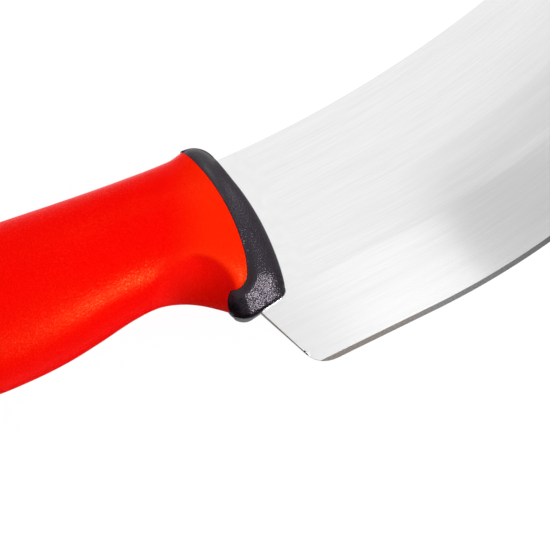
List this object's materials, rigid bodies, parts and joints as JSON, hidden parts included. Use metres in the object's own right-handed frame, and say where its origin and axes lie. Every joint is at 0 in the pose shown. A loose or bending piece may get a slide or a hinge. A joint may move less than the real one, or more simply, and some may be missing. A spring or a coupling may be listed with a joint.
{
  "type": "onion knife",
  "caption": "Broad upswept chopping knife blade with a slanted heel, in a two-part moulded handle with a collar, a finger guard and a hanging hole.",
  "frame": {"origin": "middle of the knife's box in X and Y, at the height of the surface that the handle lies on when the knife is laid on its side", "axes": "+X from the butt towards the blade's tip, +Y from the cutting edge towards the spine, +Z out of the blade's face, square to it"},
  "size_m": [0.3126, 0.1168, 0.024],
  "materials": {
    "blade_steel": "satin belt grind along the blade, with a narrow polished cutting bevel",
    "core_plastic": "fine spark-eroded mould texture",
    "grip_plastic": "very fine matt mould texture with a soft sheen"
  },
  "bodies": {
    "root": {"blade": "blade_steel", "handle_core": "core_plastic", "grip_sleeve": "grip_plastic"}
  },
  "joints": []
}
